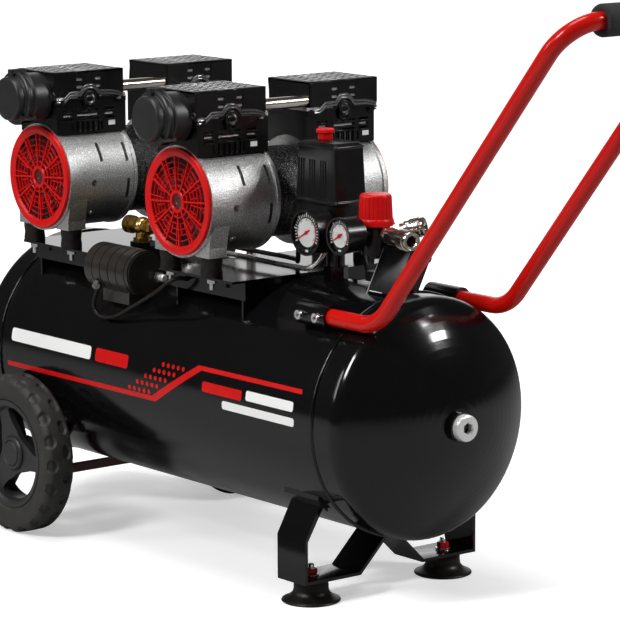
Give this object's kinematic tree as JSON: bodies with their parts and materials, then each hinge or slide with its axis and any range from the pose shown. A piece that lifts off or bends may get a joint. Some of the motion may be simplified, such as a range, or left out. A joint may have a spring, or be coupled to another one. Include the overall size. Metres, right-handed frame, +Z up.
{
  "type": "air compressor",
  "caption": "Portable twin-pump compressor on a horizontal tank, with wheels, rubber feet, a bent pull handle, gauges, regulator and quick couplers.",
  "frame": {"origin": "middle of the object's bounding box, on the floor", "axes": "+X along the tank towards the pull handle, +Z up, -Y the side with the gauges and air filters"},
  "size_m": [1.15, 0.3824, 0.7277],
  "materials": {
    "black_paint": "satin black powder coat",
    "red_paint": "gloss red paint",
    "dark_red_paint": "dull dark red paint",
    "bright_steel": "bright zinc plate",
    "chrome": "polished chrome",
    "cast_aluminium": "sand-cast, lightly speckled",
    "pipe_aluminium": "drawn tube",
    "brass": "machined brass",
    "copper": "enamelled winding wire",
    "rubber": "matt rubber",
    "tyre": "moulded tread",
    "foam": "foam sleeve",
    "black_plastic": "moulded, fine grain",
    "grey_plastic": "moulded dark grey",
    "red_plastic": "moulded red",
    "white_dial": "printed dial plate",
    "lens": "clear",
    "laminations": "stacked sheets, black lacquer"
  },
  "bodies": {
    "frame_body": {"tank_shell": "black_paint", "tank_heads": "black_paint", "end_plugs": "chrome", "drain_valve": "brass", "foot_strap_near": "black_paint", "foot_strap_far": "black_paint", "rubber_feet": "rubber", "foot_bolts": "bright_steel", "wheel_brackets": "black_paint", "axle": "dark_red_paint", "handle_sockets": "black_paint", "handle_tube": "red_paint", "handle_grip": "foam", "handle_bolts": "bright_steel", "switch_base": "black_plastic", "switch_cover": "black_plastic", "manifold": "black_paint", "gauge_cases": "black_plastic", "gauge_dials": "white_dial", "gauge_lenses": "lens", "regulator_body": "black_plastic", "coupler_bodies": "chrome", "safety_valve": "brass", "check_valve": "brass", "air_tubes": "pipe_aluminium", "wiring": "rubber", "capacitor_case": "black_plastic", "cable_glands": "bright_steel", "terminal_box": "black_plastic", "support_plates": "black_paint", "isolators": "rubber", "mount_screws": "bright_steel", "crankcases": "cast_aluminium", "grilles": "red_plastic", "bearings": "bright_steel", "stators": "laminations", "windings": "copper", "cylinders": "cast_aluminium", "pistons": "cast_aluminium", "head_blocks": "cast_aluminium", "shrouds": "black_plastic", "top_covers": "black_plastic", "link_tubes": "chrome", "air_filters": "black_plastic"},
    "near_wheel": {"wheel_rim_near": "grey_plastic", "wheel_tyre_near": "tyre"},
    "far_wheel": {"wheel_rim_far": "grey_plastic", "wheel_tyre_far": "tyre"},
    "rotor_a": {"rotor_1": "bright_steel", "fans_1": "grey_plastic"},
    "rotor_b": {"rotor_2": "bright_steel", "fans_2": "grey_plastic"},
    "regulator_dial": {"regulator_knob": "red_plastic"},
    "on_off_knob": {"switch_knob": "red_plastic"},
    "sleeve_a": {"coupler_sleeve_a": "chrome"},
    "sleeve_b": {"coupler_sleeve_b": "chrome"},
    "pull_ring": {"safety_pull": "bright_steel"},
    "drain_screw": {"drain_knob": "red_plastic"},
    "tank_needle": {"needle_tank": "red_plastic"},
    "outlet_needle": {"needle_outlet": "red_plastic"}
  },
  "joints": [
    {"name": "near_wheel_turn", "type": "hinge", "parent": "frame_body", "child": "near_wheel", "pos_m": [-0.391, -0.171, 0.1019], "axis": [0, 1, 0], "continuous": true},
    {"name": "far_wheel_turn", "type": "hinge", "parent": "frame_body", "child": "far_wheel", "pos_m": [-0.391, 0.171, 0.1019], "axis": [0, 1, 0], "continuous": true},
    {"name": "rotor_a_turn", "type": "hinge", "parent": "frame_body", "child": "rotor_a", "pos_m": [-0.3817, 0, 0.4561], "axis": [0, 1, 0], "continuous": true},
    {"name": "rotor_b_turn", "type": "hinge", "parent": "frame_body", "child": "rotor_b", "pos_m": [-0.0853, 0, 0.4561], "axis": [0, 1, 0], "continuous": true},
    {"name": "regulator_turn", "type": "hinge", "parent": "frame_body", "child": "regulator_dial", "pos_m": [0.122, 0, 0.455], "axis": [0, 0, 1], "range_deg": [-180, 180]},
    {"name": "on_off_pull", "type": "slide", "parent": "frame_body", "child": "on_off_knob", "axis": [0, 0, 1], "range_m": [0, 0.008]},
    {"name": "sleeve_a_slide", "type": "slide", "parent": "frame_body", "child": "sleeve_a", "axis": [-0.9781, 0.2079, 0], "range_m": [0, 0.004], "stiffness_N_per_m": 1500},
    {"name": "sleeve_b_slide", "type": "slide", "parent": "frame_body", "child": "sleeve_b", "axis": [-0.8078, -0.5449, -0.225], "range_m": [0, 0.004], "stiffness_N_per_m": 1500},
    {"name": "ring_pull", "type": "slide", "parent": "frame_body", "child": "pull_ring", "axis": [0, 1, 0], "range_m": [0, 0.003], "stiffness_N_per_m": 2000},
    {"name": "drain_turn", "type": "hinge", "parent": "frame_body", "child": "drain_screw", "pos_m": [-0.031, 0, 0.04], "axis": [0, 0, 1], "range_deg": [0, 270]},
    {"name": "tank_needle_turn", "type": "hinge", "parent": "frame_body", "child": "tank_needle", "pos_m": [0.063, -0.058, 0.4275], "axis": [0, 1, 0], "range_deg": [0, 240]},
    {"name": "outlet_needle_turn", "type": "hinge", "parent": "frame_body", "child": "outlet_needle", "pos_m": [0.125, -0.058, 0.4305], "axis": [0, 1, 0], "range_deg": [0, 240]}
  ]
}
